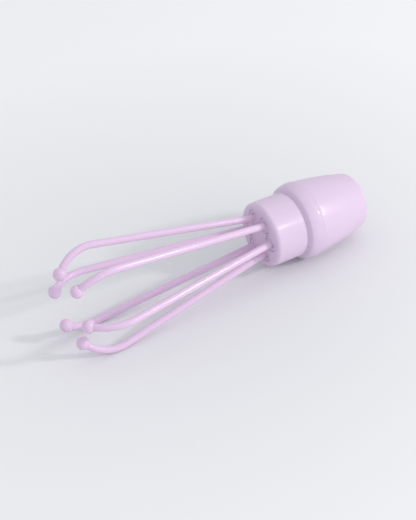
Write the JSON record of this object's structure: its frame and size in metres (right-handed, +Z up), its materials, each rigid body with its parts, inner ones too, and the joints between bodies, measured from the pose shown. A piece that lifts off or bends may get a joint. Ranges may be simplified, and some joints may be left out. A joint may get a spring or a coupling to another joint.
{
  "type": "scalp massager",
  "caption": "Hand-held vibrating scalp massager: a turned battery handle with long springy bent fingers that end in smooth balls.",
  "frame": {"origin": "on the surface it lies on, under the middle of the whole massager", "axes": "+X along the handle towards the end of its cap, +Z up; the fingers point towards -X and the axis drops 1.9 degrees towards the cap as it rests"},
  "size_m": [0.18, 0.0582, 0.0509],
  "materials": {
    "lilac_shell": "glossy moulded plastic",
    "lilac_rod": "glossy flexible plastic over a wire core",
    "lilac_plug": "semi-gloss moulded plastic",
    "inner_plastic": "fine moulded texture",
    "steel": "bright zinc plate",
    "spring_steel": "nickel plate",
    "contact_brass": "stamped brass",
    "weight_metal": "sintered",
    "magnet": "ferrite",
    "armature": "enamelled copper over laminations",
    "motor_plastic": "nylon",
    "cell_jacket": "printed foil jacket with a plain band",
    "seal_rubber": "soft silicone",
    "lead_red": "PVC insulation",
    "lead_black": "PVC insulation"
  },
  "bodies": {
    "handle": {"head_shell": "lilac_shell", "collar_shell": "lilac_shell", "root_plug_1": "lilac_plug", "root_plug_2": "lilac_plug", "root_plug_3": "lilac_plug", "root_plug_4": "lilac_plug", "root_plug_5": "lilac_plug", "root_plug_6": "lilac_plug", "finger_retainer": "inner_plastic", "retainer_screws": "steel", "chassis": "inner_plastic", "frame_screws": "steel", "positive_contact": "contact_brass", "motor_case": "steel", "motor_bush": "contact_brass", "motor_magnets": "magnet", "motor_end_cap": "motor_plastic", "motor_terminals": "contact_brass", "motor_strap": "spring_steel", "strap_screws": "steel", "switch_pads": "contact_brass", "positive_lead": "lead_red", "negative_lead": "lead_black"},
    "switch_ring": {"switch_rotor": "inner_plastic", "switch_wiper": "contact_brass"},
    "cap": {"grip_cap": "lilac_shell", "cap_seal": "seal_rubber", "cap_spring": "spring_steel", "cap_contact": "spring_steel"},
    "cell": {"cell_case": "cell_jacket", "cell_nub": "spring_steel"},
    "motor_rotor": {"motor_shaft": "steel", "motor_armature": "armature", "eccentric_weight": "weight_metal"},
    "finger_1": {"finger_core_1": "spring_steel", "finger_rod_1": "lilac_rod", "tip_ball_1": "lilac_rod"},
    "finger_2": {"finger_core_2": "spring_steel", "finger_rod_2": "lilac_rod", "tip_ball_2": "lilac_rod"},
    "finger_3": {"finger_core_3": "spring_steel", "finger_rod_3": "lilac_rod", "tip_ball_3": "lilac_rod"},
    "finger_4": {"finger_core_4": "spring_steel", "finger_rod_4": "lilac_rod", "tip_ball_4": "lilac_rod"},
    "finger_5": {"finger_core_5": "spring_steel", "finger_rod_5": "lilac_rod", "tip_ball_5": "lilac_rod"},
    "finger_6": {"finger_core_6": "spring_steel", "finger_rod_6": "lilac_rod", "tip_ball_6": "lilac_rod"}
  },
  "joints": [
    {"name": "finger_1_flex", "type": "hinge", "parent": "handle", "child": "finger_1", "pos_m": [0.02986, 0.00473, 0.01404], "axis": [-0.0166, -0.866, -0.4997], "range_deg": [-3, 15], "stiffness_Nm_per_rad": 1.2},
    {"name": "finger_2_flex", "type": "hinge", "parent": "handle", "child": "finger_2", "pos_m": [0.03013, 0.00945, 0.02222], "axis": [-0.0332, 0, -0.9994], "range_deg": [-3, 15], "stiffness_Nm_per_rad": 1.2},
    {"name": "finger_3_flex", "type": "hinge", "parent": "handle", "child": "finger_3", "pos_m": [0.0304, 0.00473, 0.0304], "axis": [-0.0166, 0.866, -0.4997], "range_deg": [-3, 15], "stiffness_Nm_per_rad": 1.2},
    {"name": "finger_4_flex", "type": "hinge", "parent": "handle", "child": "finger_4", "pos_m": [0.0304, -0.00473, 0.0304], "axis": [0.0166, 0.866, 0.4997], "range_deg": [-3, 15], "stiffness_Nm_per_rad": 1.2},
    {"name": "finger_5_flex", "type": "hinge", "parent": "handle", "child": "finger_5", "pos_m": [0.03013, -0.00945, 0.02222], "axis": [0.0332, 0, 0.9994], "range_deg": [-3, 15], "stiffness_Nm_per_rad": 1.2},
    {"name": "finger_6_flex", "type": "hinge", "parent": "handle", "child": "finger_6", "pos_m": [0.02986, -0.00473, 0.01404], "axis": [0.0166, -0.866, 0.4997], "range_deg": [-3, 15], "stiffness_Nm_per_rad": 1.2},
    {"name": "cap_twist", "type": "hinge", "parent": "handle", "child": "switch_ring", "pos_m": [0.05152, 0, 0.02151], "axis": [0.9994, 0, -0.0332], "range_deg": [0, 45]},
    {"name": "cap_pull", "type": "slide", "parent": "switch_ring", "child": "cap", "axis": [0.9994, 0, -0.0332], "range_m": [0, 0.1]},
    {"name": "cell_pull", "type": "slide", "parent": "handle", "child": "cell", "axis": [0.9994, 0, -0.0332], "range_m": [0, 0.05]},
    {"name": "motor_spin", "type": "hinge", "parent": "handle", "child": "motor_rotor", "pos_m": [0.04779, 0, 0.02964], "axis": [0.9994, 0, -0.0332], "continuous": true}
  ],
  "couplings": [
    {"joint": "cell_pull", "follows": "cap_pull", "ratio": 0.5}
  ]
}
